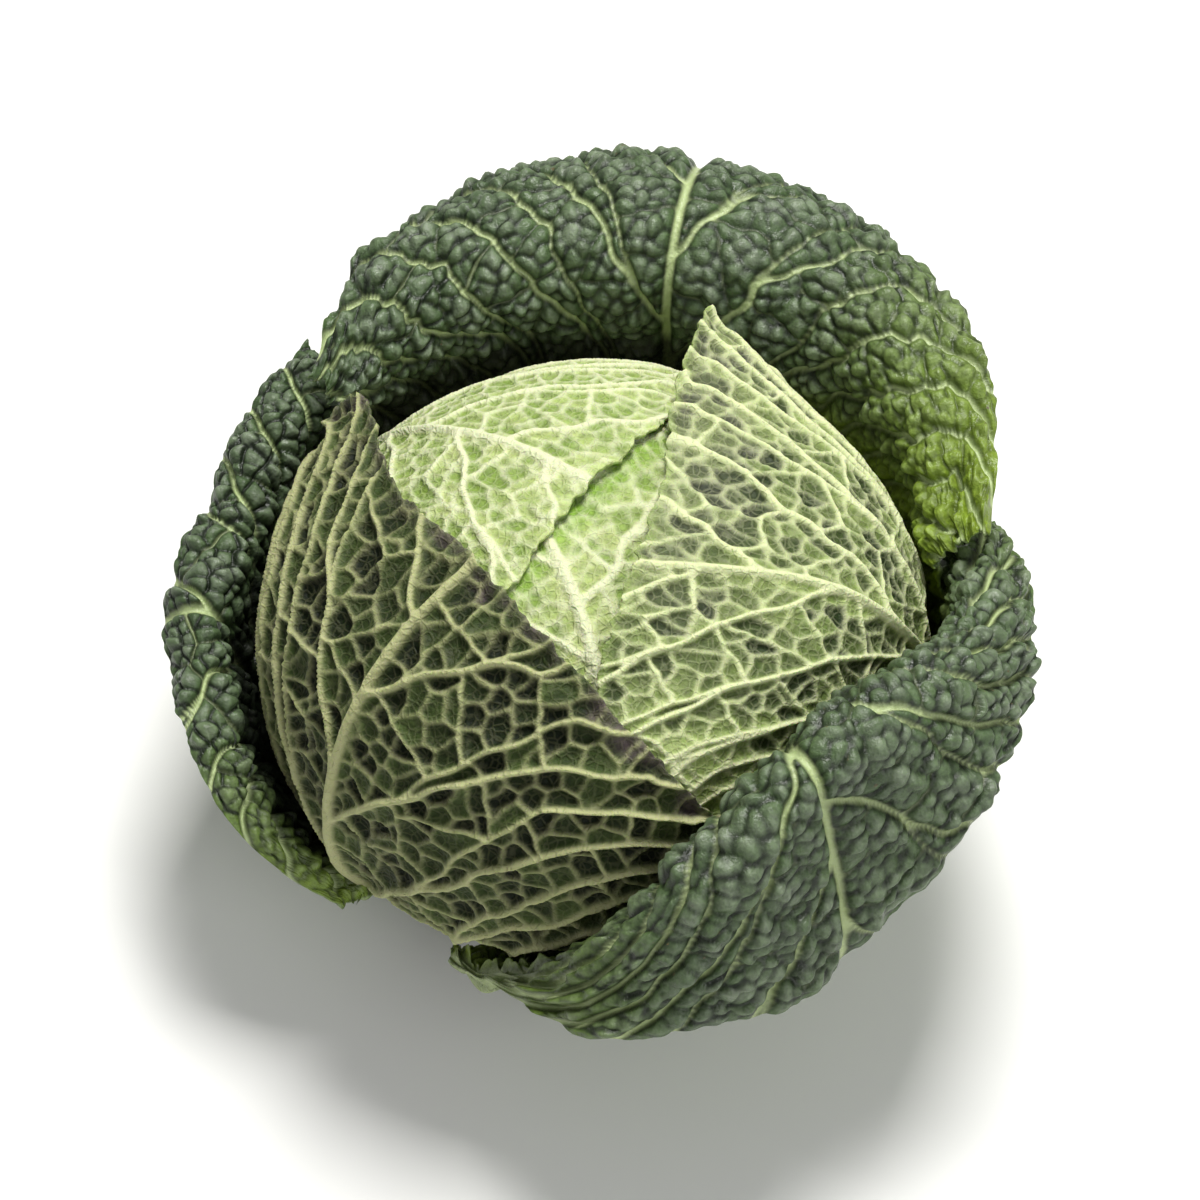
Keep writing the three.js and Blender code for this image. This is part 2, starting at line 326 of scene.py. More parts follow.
def side_veins(leaf, sheet, rng):
    """Side veins run where count = (y - slant * |x|) / pitch is whole, and each forks further out,
    where the count's fraction equals a wedge that opens with |x|. Dividing by the count's slope
    turns fractions into millimetres. The sector is a number for each patch between the veins."""
    x, y = sheet["x"], sheet["y"]
    midrib_x = x - swell(y * 0, y, MIDRIB_WAVE, rng) * MIDRIB_SWAY
    reach = np.abs(midrib_x)
    right = (midrib_x > 0).astype(int)
    slant = leaf["slant"] * (1 - BEND_TO_TIP * y / sheet["end"])
    kinks = sum(swell(x, y, size, rng) * height for height, size in KINKS)
    count = (y - slant * reach + kinks) / leaf["pitch"]
    step_s, step_t = sheet["steps"]
    slope = np.hypot(np.gradient(count, axis=1) / step_s, np.gradient(count, axis=0) / step_t)
    slope = np.maximum(slope, 1e-3)
    count = count + 0.5 * right
    order = np.floor(count).astype(int)
    share = count - order
    fork_at = rng.uniform(*leaf["forks"], FORK_PLACES)[(order * 2 + right) % FORK_PLACES]
    wedge = np.clip((reach - fork_at) / FORK_OPENS, 0, 0.5)
    side = np.minimum(np.minimum(share, 1 - share) / slope, FAR)
    fork = np.where(reach > fork_at, np.abs(share - wedge) / slope, FAR)
    sector = (order * 2 + right) * 2 + (share > wedge)
    return reach, side, fork, sector


# %% The net between them
WANDER_SIZE = 8
MIDRIB_HALF_WIDTH = 0.6


def vein_net(leaf, sheet):
    """Between the side veins come three orders, each inside the one before: fields, cells in a
    field, grains in a cell. Points are squeezed along the leaf before the seeds are scattered, so
    the cells come out longer that way, and shifted by smooth noise, so their walls wander."""
    rng = sheet["rng"]
    reach, side, fork, sector = side_veins(leaf, sheet, rng)
    along_grain = (sheet["points"] @ sheet["grain_way"])[..., None]
    wander = [swell(sheet["x"], sheet["y"], WANDER_SIZE, rng) for _ in range(3)]
    wander = np.stack(wander, -1) * leaf["wander"]
    flat = (sheet["points"] - leaf["stretch"] * sheet["grain_way"] * along_grain + wander).astype(np.float32)
    seeds = [scatter(flat.reshape(-1, 3), leaf[kind], rng, leaf["tries"] // cut)
             for kind, cut in (("field", 4), ("cell", 1), ("grain", 1))]
    trunk = np.minimum(np.minimum(side, fork), reach - MIDRIB_HALF_WIDTH)
    trunk = np.maximum(trunk - leaf["trough"], 0)
    field_wall, field_away, field = walls(flat, sector, seeds[0], leaf["field"])
    cell_wall, cell_away, cell = walls(flat, field * 1000 + sector % 1000, seeds[1], leaf["cell"])
    grain_wall, _, _ = walls(flat, cell, seeds[2], leaf["grain"])
    field_wall = np.minimum(field_wall, trunk)
    cell_wall = np.minimum(cell_wall, field_wall)
    chance = rng.uniform(0, 1, len(seeds[1]))[cell]
    print(f"{leaf['name']}: {len(seeds[0])} fields, {len(seeds[1])} cells, {len(seeds[2])} grains")
    return {"midrib": reach, "side": side, "fork": fork, "trunk": trunk, "field": field_wall,
            "cell": cell_wall, "grain": np.minimum(grain_wall, cell_wall), "field_away": field_away,
            "cell_away": cell_away, "chance": chance}


# %% [markdown]
# ## Relief from the net
# One sheet, two faces: where the upper face swells into a blister the lower face sinks into a
# pit, so a single height serves both. The veins add a rounded ridge on the lower face only. Heights
# and colours come from the same distances to the walls, so a pit is dark exactly where it is deep:
# partly its own darker green, partly painted shade.


# %% Blisters, ridges and the masks that colour them
def bulge(distance, radius):
    """A quarter circle, steep at the wall and 1 from the radius on: sqrt(1 - (1 - distance /
    radius) ** 2)."""
    u = np.clip(distance / radius, 0, 1)
    return np.sqrt(1 - (1 - u) ** 2)


def dome(wall, away):
    """A round blister over a seed: u = wall / (wall + away) is 0 on the wall and 1 at the seed, and
    the height is (1 - (1 - u) ** 2) ** 0.7."""
    u = np.clip(wall / np.maximum(wall + away, 1e-3), 0, 1)
    return (1 - (1 - u) ** 2) ** 0.7


def ridge(distance, width):
    """1 on a vein, falling off to 0 beside it: exp(-(distance / width) ** 2)."""
    return np.exp(-((distance / width) ** 2))


def soften(height):
    """Each point becomes half itself and a quarter of each neighbour, first down the columns, then
    along the rows. It takes out what the grid is too coarse to hold."""
    for _ in range(2):
        padded = np.pad(height, ((1, 1), (0, 0)), mode="edge")
        height = ((padded[:-2] + 2 * padded[1:-1] + padded[2:]) / 4).T
    return height


def lowest(height, reach):
    """The least height within that many grid steps, along both directions."""
    for _ in range(2):
        padded = np.pad(height, ((reach, reach), (0, 0)), mode="edge")
        height = np.min([padded[k:k + len(height)] for k in range(2 * reach + 1)], axis=0).T
    return height


# %% How high the blisters stand
SIDE_SHOULDER = 8
MIDRIB_SHOULDER = 10
FIELD_SHOULDER, CELL_SHOULDER, GRAIN_SHOULDER = 0.4, 0.42, 0.45  # shares of the spacing


def blisters(leaf, sheet, net, calm, held):
    """The sum of a cap over each order of wall, steep or domed, lower beside the midrib, at the
    margin and where another leaf presses, and a little different from cell to cell."""
    by_side, by_field, by_cell, by_grain = leaf["blister"]
    round_cell = dome(net["cell"], net["cell_away"])
    steep_cell = bulge(net["cell"], leaf["cell"] * CELL_SHOULDER)
    round_field = dome(net["field"], net["field_away"])
    steep_field = bulge(net["field"], leaf["field"] * FIELD_SHOULDER)
    puff = leaf["round"]
    blister = (by_side * bulge(net["trunk"], SIDE_SHOULDER)
               + by_field * (puff * round_field + (1 - puff) * steep_field)
               + by_cell * (puff * round_cell + (1 - puff) * steep_cell)
               + by_grain * bulge(net["grain"], leaf["grain"] * GRAIN_SHOULDER))
    beside_midrib = 0.5 + 0.5 * bulge(net["midrib"], MIDRIB_SHOULDER)
    return blister * beside_midrib * calm * held * (0.75 + 0.5 * net["chance"])


# %% How high the veins stand, and the masks
CALM_AT_RIM, CALM_WIDTH = 0.45, 4
PRESSED_WIDTH = 0.35
THINNING = 70  # millimetres from the midrib over which side veins thin out


def relief(leaf, sheet, net):
    """Blister height, ridge height and three masks from 0 to 1: veins, mesh of small walls, depth.
    A ridge is ridge(distance, width) * width, the tallest wins, and veins thin out towards the tip."""
    young = 1 - sheet["y"] / sheet["end"]
    calm = CALM_AT_RIM + (1 - CALM_AT_RIM) * ease(sheet["rim"], 0, CALM_WIDTH)
    tucked = leaf["tuck"][0]
    held = leaf["pressed"] + (1 - leaf["pressed"]) * ease(sheet["s"], tucked, tucked + PRESSED_WIDTH)
    blister = blisters(leaf, sheet, net, calm, held)
    rib_width = leaf["rib"] * (0.35 + 0.65 * young)
    near_midrib = 0.5 + 0.5 * np.exp(-net["midrib"] / THINNING)
    side_width = leaf["side_vein"] * near_midrib * (0.6 + 0.4 * young)
    fork_width = side_width * 0.8
    ridges = np.max([ridge(net["midrib"], rib_width) * rib_width * 0.8,
                     ridge(net["side"], side_width) * side_width * 0.9,
                     ridge(net["fork"], fork_width) * fork_width * 0.9,
                     ridge(net["field"], 0.6) * 0.6,
                     ridge(net["cell"], 0.45) * 0.35], axis=0) * leaf["ridges"] * held
    vein = np.max([ridge(net["midrib"], rib_width * 0.95),
                   ridge(net["side"], side_width),
                   ridge(net["fork"], fork_width),
                   ridge(net["field"], 0.55) * leaf["field_veins"]], axis=0)
    mesh = np.maximum(ridge(net["cell"], 0.55), ridge(net["grain"], 0.4) * 0.3)
    deep = blister / sum(leaf["blister"])
    return soften(blister), soften(ridges * (0.5 + 0.5 * calm)), soften(vein), soften(mesh), soften(deep)


# %% [markdown]
# ## From relief to a closed sheet
# The face that is looked at gets the full grid and the other face every second point of it. The
# rim is closed by a strip of triangles that steps from the fine edge to the coarse one.


# %% Closing two grids into one shell
def rim_loop(columns, rows, offset):
    """Indices of a grid's outermost points, once round: along the base, up the right side, back
    along the top, down the left side."""
    index = offset + np.arange((rows + 1) * (columns + 1)).reshape(rows + 1, columns + 1)
    return np.concatenate([index[0, :-1], index[:-1, -1], index[-1, :0:-1], index[:0:-1, 0]])


def quads(columns, rows, offset):
    """The four corners of every grid cell, counter-clockwise as seen with s to the right and t up."""
    index = offset + np.arange((rows + 1) * (columns + 1)).reshape(rows + 1, columns + 1)
    return np.stack([index[:-1, :-1], index[:-1, 1:], index[1:, 1:], index[1:, :-1]], -1).reshape(-1, 4)


def make_object(name, points, faces, masks):
    """Vertices and faces of mixed size go in as flat arrays; each mask becomes a float attribute."""
    mesh = bpy.data.meshes.new(name)
    sizes = np.concatenate([np.full(len(group), group.shape[1]) for group in faces])
    corners = np.concatenate([group.ravel() for group in faces]).astype(np.int32)
    mesh.vertices.add(len(points))
    mesh.vertices.foreach_set("co", (points * MM).astype(np.float32).ravel())
    mesh.loops.add(len(corners))
    mesh.loops.foreach_set("vertex_index", corners)
    mesh.polygons.add(len(sizes))
    mesh.polygons.foreach_set("loop_start", (np.cumsum(sizes) - sizes).astype(np.int32))
    mesh.polygons.foreach_set("use_smooth", np.ones(len(sizes), bool))
    mesh.update(calc_edges=True)
    mesh.validate()
    for mask, values in masks.items():
        layer = mesh.attributes.new(mask, "FLOAT", "POINT")
        layer.data.foreach_set("value", values.astype(np.float32).ravel())
    obj = bpy.data.objects.new(name, mesh)
    bpy.context.scene.collection.objects.link(obj)
    return obj


def shell(name, lower, upper, masks, fine_is_lower):
    """lower and upper are the two faces on the same grid. The fine face keeps all its points, the
    other every second one, and the strip has three triangles for each step of the coarse rim."""
    rows, columns = lower.shape[0] - 1, lower.shape[1] - 1
    fine, coarse = (lower, upper) if fine_is_lower else (upper, lower)
    coarse = coarse[::2, ::2]
    offset = (rows + 1) * (columns + 1)
    f = rim_loop(columns, rows, 0)
    c = rim_loop(columns // 2, rows // 2, offset)
    f0, f1, f2 = f[0::2], f[1::2], np.roll(f, -2)[0::2]
    c0, c1 = c, np.roll(c, -1)
    triangles = (f0, c0, f1), (c0, c1, f1), (f1, c1, f2)
    strip = np.concatenate([np.stack(corners, -1) for corners in triangles])
    faces = [quads(columns, rows, 0), quads(columns // 2, rows // 2, offset)[:, ::-1], strip]
    if not fine_is_lower:
        faces = [group[:, ::-1] for group in faces]
    points = np.concatenate([fine.reshape(-1, 3), coarse.reshape(-1, 3)])
    all_masks = {key: np.concatenate([m.ravel(), m[::2, ::2].ravel()]) for key, m in masks.items()}
    is_fine = np.arange(len(points)) < offset
    all_masks["lower_face"] = (is_fine == fine_is_lower).astype(float)
    return make_object(name, points, faces, all_masks)


# %% Light that comes through the margin of the leaf above
MARGIN_POINTS = 90
GLOW_WIDTH = 5.5


def edge_glow(cover, sheet):
    """ridge(distance to the covering leaf's top margin, glow width), with the margin as a row of points."""
    s = np.linspace(-1, 1, MARGIN_POINTS)
    margin = wrapper_surface(cover, s, np.ones(MARGIN_POINTS)).astype(np.float32)
    points = sheet["points"].reshape(-1, 3).astype(np.float32)
    square = (points**2).sum(1)[:, None] + (margin**2).sum(1)[None] - 2 * points @ margin.T
    return ridge(np.sqrt(np.maximum(square.min(1), 0)), GLOW_WIDTH).reshape(sheet["s"].shape)


# %% Growing one leaf
RUFFLED_WIDTH = 14.0
WAVE_SIZE = 60
ENVELOPE = 2  # grid steps


def grow(leaf):
    """lower face = blade + normal * (lift - blister + ridge), upper face = blade + normal * (lift -
    blister - thickness). The face with every second point only takes the blisters' envelope, so it
    never cuts through the fine one."""
    columns, rows = leaf["grid"]
    sheet = blade(leaf, columns, rows)
    net = vein_net(leaf, sheet)
    blister, ridges, vein, mesh, deep = relief(leaf, sheet, net)
    rng = sheet["rng"]
    height, size = leaf["ruffle"]
    ruffle = swell(sheet["x"], sheet["y"], size, rng) * height * ridge(sheet["rim"], RUFFLED_WIDTH)
    broad = swell(sheet["x"], sheet["y"], WAVE_SIZE, rng) * leaf["wave"] * ease(sheet["t"], 0.2, 0.6)
    lift = (leaf["lift"] + ruffle + broad)[..., None]
    n = sheet["normal"]
    loose = "crest" in leaf
    under_blister = lowest(blister, ENVELOPE) if loose else blister
    over_blister = blister if loose else -lowest(-blister, ENVELOPE)
    lower = sheet["points"] + n * (lift + (ridges - under_blister)[..., None])
    upper = sheet["points"] + n * (lift - (over_blister + BLADE_THICKNESS)[..., None])
    over_fold = ease(sheet["t"], FOLD_AT - 0.04, FOLD_AT + 0.02)
    lit_rim = across(leaf["lit_rim"], sheet["s"])
    lit_wall = across(leaf["lit_wall"], sheet["s"])
    lit = over_fold * lit_rim + (1 - over_fold) * lit_wall
    if "covered_by" in leaf:
        lit = edge_glow(leaf["covered_by"], sheet)
    masks = {"vein": vein, "mesh": mesh, "deep": deep, "rim": sheet["rim"], "along": sheet["t"],
             "across": sheet["s"], "chance": net["chance"], "lit": np.clip(lit, 0, 1)}
    return shell(leaf["name"] + "_blade", lower, upper, masks, not loose)


# %% [markdown]
# ## Leaf colours
# The masks say where the veins are, how deep a pit is and how near the margin is. The blade's
# colour runs from the pit's colour, a darker green with painted shade, to the blade's green, the
# veins are laid over it, and the margins of the wrapper leaves are tinted grey-purple where the
# cold has touched them. Only the finest veins, less than half a millimetre wide, are a pattern
# in the finish and not in the mesh.


# %% Small helpers for shader nodes
class Nodes:
    """A material's node tree, with one method per kind of node that the finishes need. Each takes
    numbers, colours or sockets and returns the new node's output."""

    def __init__(self, name):
        self.material = bpy.data.materials.new(name)
        self.material.use_nodes = True
        self.tree = self.material.node_tree
        self.shader = self.tree.nodes["Principled BSDF"]
        self.place = self.tree.nodes.new("ShaderNodeTexCoord").outputs["Object"]

    def link(self, value, socket):
        """A socket is joined to it; a number or a colour becomes its own value."""
        if isinstance(value, bpy.types.NodeSocket):
            self.tree.links.new(value, socket)
        elif isinstance(value, tuple) and len(value) == 3:
            socket.default_value = (*value, 1)
        else:
            socket.default_value = value

    def mask(self, name):
        """A float attribute of the mesh."""
        node = self.tree.nodes.new("ShaderNodeAttribute")
        node.attribute_name = name
        return node.outputs["Fac"]

    def math(self, operation, a, b=0.0):
        """One calculation on two values, such as MULTIPLY. SQRT uses only the first."""
        node = self.tree.nodes.new("ShaderNodeMath")
        node.operation = operation
        self.link(a, node.inputs[0])
        self.link(b, node.inputs[1])
        return node.outputs[0]

    def fit(self, value, low, high, to_low=0.0, to_high=1.0):
        """low to high becomes to_low to to_high, by a smooth step."""
        node = self.tree.nodes.new("ShaderNodeMapRange")
        node.interpolation_type = "SMOOTHSTEP"
        for socket, number in zip(node.inputs, (value, low, high, to_low, to_high)):
            self.link(number, socket)
        return node.outputs[0]

    def blend(self, share, a, b, kind="MIX"):
        """a * (1 - share) + b * share, or a * b with the kind MULTIPLY and a share of 1."""
        node = self.tree.nodes.new("ShaderNodeMix")
        node.data_type = "RGBA"
        node.blend_type = kind
        self.link(share, node.inputs[0])
        self.link(a, node.inputs[6])
        self.link(b, node.inputs[7])
        return node.outputs[2]

    def noise(self, size_mm, detail=3.0, rough=0.55):
        """Cloudy noise about 0.5, in patches of about that size."""
        node = self.tree.nodes.new("ShaderNodeTexNoise")
        self.link(self.place, node.inputs["Vector"])
        node.inputs["Scale"].default_value = 1 / (size_mm * MM)
        node.inputs["Detail"].default_value = detail
        node.inputs["Roughness"].default_value = rough
        return node.outputs["Fac"]

    def net(self, size_mm):
        """Distance to the walls of cells of about that size, as a share of it."""
        node = self.tree.nodes.new("ShaderNodeTexVoronoi")
        node.feature = "DISTANCE_TO_EDGE"
        self.link(self.place, node.inputs["Vector"])
        node.inputs["Scale"].default_value = 1 / (size_mm * MM)
        return node.outputs["Distance"]

    def bump(self, height, depth_mm, after=None):
        """A normal tilted by the height, on top of an earlier bump."""
        node = self.tree.nodes.new("ShaderNodeBump")
        node.inputs["Strength"].default_value = 1.0
        node.inputs["Distance"].default_value = depth_mm * MM
        self.link(height, node.inputs["Height"])
        if after is not None:
            self.link(after, node.inputs["Normal"])
        return node.outputs["Normal"]


# %% What all leaf finishes share: the blade's colour, its sheen and its fine relief
PATCH_SIZE = 22
SHEEN_PATCH_SIZE = 7
THREAD_CELL = 2.3
SKIN_DEPTH = 2.0


def leaf_finish(name, pit, green, pale, vein, net=0.6, threads=0.14, glow=0.35,
                sheen=(0.5, 0.7), gloss=0.25):
    """Blade = mix of green and pale by patches, then the pit colour, a darker green with painted shade, by
    depth * chance on the lower face.
    Returns the nodes and the colour, for more layers."""
    n = Nodes(name)
    under = n.mask("lower_face")
    colour = n.blend(n.fit(n.noise(PATCH_SIZE), 0.38, 0.62), green, pale)
    # darker pits on the lower face: partly the leaf's darker green, partly painted shade in the deep pits, a
    # little different from cell to cell
    shadow = n.fit(n.mask("chance"), 0.0, 1.0, 0.55, 1.0)
    pit_tone_and_shade = n.math("MULTIPLY", n.fit(n.mask("deep"), 0.2, 0.85), shadow)
    colour = n.blend(n.math("MULTIPLY", pit_tone_and_shade, under), colour, pit)
    n.link(n.fit(n.noise(SHEEN_PATCH_SIZE), 0.3, 0.7, *sheen), n.shader.inputs["Roughness"])
    n.shader.inputs["Specular IOR Level"].default_value = gloss
    n.shader.inputs["Subsurface Weight"].default_value = glow
    n.shader.inputs["Subsurface Radius"].default_value = (0.6, 1.0, 0.25)
    n.shader.inputs["Subsurface Scale"].default_value = SKIN_DEPTH * MM
    n.threads = n.math("MULTIPLY", n.fit(n.net(THREAD_CELL), 0.02, 0.18, 1.0, 0.0), under)
    wrinkles = n.bump(n.noise(3.0, 3.0), 0.8, n.bump(n.threads, 0.18))
    n.link(n.bump(n.noise(1.1, 4.0), 0.3, wrinkles), n.shader.inputs["Normal"])
    n.under, n.vein, n.show_net, n.show_threads = under, vein, net, threads
    return n, colour


# %% The last layers of every leaf finish: speckles, small walls, threads, veins, shade
def veined(n, colour, shade=None):
    """colour * speckle, then the vein colour mixed in by each mask in turn, then colour * shade."""
    speckle = n.fit(n.noise(2.2, 4.0), 0.3, 0.7, 0.75, 1.2)
    colour = n.blend(1.0, colour, speckle, "MULTIPLY")
    net = n.math("MULTIPLY", n.math("MULTIPLY", n.fit(n.mask("mesh"), 0.15, 0.9), n.show_net), n.under)
    colour = n.blend(net, colour, n.vein)
    colour = n.blend(n.math("MULTIPLY", n.threads, n.show_threads), colour, n.vein)
    colour = n.blend(n.fit(n.mask("vein"), 0.2, 0.65), colour, n.vein)
    if shade is not None:
        colour = n.blend(1.0, colour, shade, "MULTIPLY")
    n.link(colour, n.shader.inputs["Base Color"])
    return n.material


# %% Wrapper leaves: a grey-purple edge where the cold has touched them
TINT_PATCH_SIZE = 12
TINT_RAGGED = 22.0
TINT_SOLID = 8.0


def wrapper_finish(name, tint, amount, reach, side, tip=1.0, lit=(0.17, 0.33, 0.015), **colours):
    """The tint's share = amount * edge * high * where: it fades out over reach millimetres from the
    margin, keeps to the upper part of the leaf and to one side of it, and tip is how much of it is
    left at the tip. lit is the colour of light that comes through."""
    n, colour = leaf_finish(name, **colours)
    colour = n.blend(n.math("MULTIPLY", n.mask("lit"), 0.85), colour, lit)
    patchy = n.math("MULTIPLY", n.noise(TINT_PATCH_SIZE, 4.0), TINT_RAGGED)
    edge = n.fit(n.math("ADD", n.mask("rim"), patchy), TINT_SOLID, TINT_SOLID + reach, 1.0, 0.0)
    near_tip = n.fit(n.mask("along"), 0.88, 0.97, 1.0, tip)
    high = n.math("MULTIPLY", n.fit(n.mask("along"), 0.6, 0.85), near_tip)
    where = n.fit(n.mask("across"), *side)
    share = n.math("MULTIPLY", n.math("MULTIPLY", edge, high), n.math("MULTIPLY", where, amount))
    return veined(n, n.blend(share, colour, tint))


# %% Loose leaves: waxy crests with a painted highlight, painted shade in the creases and on the wall inside the fold, light through thin ends
WAX_PATCH_SIZE = 9
SPOT_SIZE, SPOTTED_AREA = 2.6, 60
SHADE_INSIDE = 0.85


def outer_finish(name, crest, crease_shade, lit, below, spots, **colours):
    """Upper face: waxy bloom and a painted highlight on the crests, painted shade in the creases, a few dry
    spots, painted shade inside the fold. Light that comes through turns the thin ends yellow-green. The
    lower face is paler."""
    n, colour = leaf_finish(name, **colours)
    above = n.math("SUBTRACT", 1.0, n.under)
    wax = n.fit(n.noise(WAX_PATCH_SIZE, 4.0), 0.35, 0.7, 0.25, 0.9)
    # the leaf's own waxy bloom, made lighter on the blister tops as a painted highlight
    bloom_and_highlight = n.math("MULTIPLY", n.fit(n.mask("deep"), 0.3, 0.85), wax)
    colour = n.blend(n.math("MULTIPLY", bloom_and_highlight, above), colour, crest)
    colour = n.blend(n.math("MULTIPLY", n.mask("lit"), 0.9), colour, lit)
    # painted shade: the creases between the blisters darkened almost to black, less where light comes
    # through
    crease_shade_share = n.math("MULTIPLY", n.fit(n.mask("mesh"), 0.2, 0.8, 0.0, 0.95), above)
    crease_shade_share = n.math("MULTIPLY", crease_shade_share, n.fit(n.mask("lit"), 0.0, 1.0, 1.0, 0.35))
    colour = n.blend(crease_shade_share, colour, crease_shade)
    spotted = n.fit(n.noise(SPOTTED_AREA), 0.5, 0.62)
    dry = n.math("MULTIPLY", n.fit(n.noise(SPOT_SIZE, 2.0), 0.7, 0.76), spotted)
    colour = n.blend(dry, colour, spots)
    colour = n.blend(n.math("MULTIPLY", n.under, 0.8), colour, below)
    # painted shade on the inner wall below the fold, where the roll and the head keep the light off; none
    # where light comes through
    inside = n.fit(n.mask("along"), FOLD_AT - 0.028, FOLD_AT, SHADE_INSIDE, 0.0)
    inside = n.math("MULTIPLY", inside, above)
    inside = n.math("MULTIPLY", inside, n.math("SUBTRACT", 1.0, n.mask("lit")))
    return veined(n, colour, n.math("SUBTRACT", 1.0, inside))


# %% The finishes
BOTH_SIDES = (-3.0, -2.0)
# Each pit colour is a darker green with painted shade; the outer leaf's crease colour is painted shade, and
# its crest colour is waxy bloom with a painted highlight.
FINISH = {
    "left_wrapper_leaf": wrapper_finish(
        "left_wrapper_leaf", tint=(0.12, 0.09, 0.095), amount=0.8, reach=8.0, side=BOTH_SIDES,
        pit=(0.004, 0.008, 0.002), green=(0.045, 0.073, 0.016), pale=(0.078, 0.115, 0.03),
        vein=(0.4, 0.41, 0.21), threads=0.07, gloss=0.15),
    "right_wrapper_leaf": wrapper_finish(
        "right_wrapper_leaf", tint=(0.27, 0.225, 0.23), amount=0.55, reach=32.0, side=(-0.45, 0.15),
        tip=0.25, pit=(0.012, 0.026, 0.003), green=(0.21, 0.29, 0.075), pale=(0.32, 0.41, 0.13),
        vein=(0.6, 0.64, 0.37)),
    "pale_leaf": wrapper_finish(
        "pale_leaf", tint=(0.4, 0.5, 0.2), amount=0.4, reach=10.0, side=BOTH_SIDES,
        pit=(0.18, 0.27, 0.05), green=(0.38, 0.46, 0.16), pale=(0.46, 0.52, 0.22),
        vein=(0.62, 0.65, 0.42), net=0.75),
    "outer_leaf": outer_finish(
        "outer_leaf", crest=(0.16, 0.2, 0.13), crease_shade=(0.004, 0.009, 0.002), lit=(0.2, 0.29, 0.012),
        below=(0.15, 0.24, 0.08), spots=(0.1, 0.08, 0.035), pit=(0.05, 0.09, 0.025),
        green=(0.042, 0.078, 0.024), pale=(0.065, 0.11, 0.038), vein=(0.38, 0.46, 0.22), net=0.5,
        glow=0.1, sheen=(0.35, 0.55), gloss=0.45),
    "heart": wrapper_finish(
        "heart", tint=(0.4, 0.5, 0.2), amount=0.0, reach=10.0, side=BOTH_SIDES,
        pit=(0.2, 0.32, 0.07), green=(0.4, 0.52, 0.18), pale=(0.5, 0.62, 0.26), vein=(0.7, 0.76, 0.46)),
}
print("finishes:", ", ".join(FINISH))

# %% [markdown]
# ## The leaves
# Each leaf is one set of plain numbers: where it stands, how far it reaches, how high its
# blisters are. Angles are in degrees and lengths in millimetres, and a list of values runs from
# the leaf's left to its right. The wrappers show their lower face, so their pits and ridges
# matter; the loose leaves roll over and show their upper face, so their blisters do.

# %% Wrapper leaves, from the youngest to the oldest
WRAPPERS = [
    {"name": "inner_leaf", "slot": "pale_leaf", "azimuth": 10, "left": 62, "right": 62, "layer": 3,
     "top": [170, 195, 205, 208, 205, 195, 170], "veer": -10, "seed": 11, "grid": (220, 260),
     "pitch": 26, "slant": 1.4, "field": 9.5, "cell": 3.5, "grain": 2.2,
     "blister": (0.2, 0.35, 0.5, 0.15), "rib": 2.9, "ridges": 1.0, "lift": 0.2},
    {"name": "crown_leaf", "slot": "pale_leaf", "azimuth": -127.5, "left": 74, "right": 74, "layer": 6,
     "top": [150, 172, 178, 179, 180, 176, 150], "belly": 0.5, "seed": 12,
     "pitch": 30, "slant": 1.5, "field": 9.5, "cell": 3.4, "grain": 2.2,
     "blister": (0.2, 0.5, 0.7, 0.25), "rib": 2.4, "ridges": 0.9, "lift": 0.5},
    {"name": "right_head_leaf", "slot": "right_wrapper_leaf", "azimuth": 80, "left": 60, "right": 66,
     "layer": 9, "top": [150, 168, 172, 172, 171, 170, 164], "belly": 6, "flare": 17, "flare_at": 0.9,
     "veer": -15, "tuck": (-0.7, 0.0), "pressed": 0.4, "seed": 13,
     "pitch": 40, "slant": 2.7, "field": 10, "cell": 3.8, "stretch": 0.42, "grain": 2.4,
     "blister": (0.4, 0.8, 1.2, 0.2), "rib": 2.6, "ridges": 1.1, "lift": 0.9},
    {"name": "left_head_leaf", "slot": "left_wrapper_leaf", "azimuth": -50, "left": 72, "right": 70,
     "layer": 13.5, "top": [140, 162, 156, 157, 153, 146, 134], "belly": 3, "flare": 9,
     "flare_at": -0.72, "seed": 14,
     "pitch": 44, "slant": 1.8, "field": 13, "cell": 4.7, "grain": 2.6,
     "blister": (0.5, 1.3, 2.0, 0.3), "rib": 2.4, "ridges": 1.25, "lift": 1.6},
]

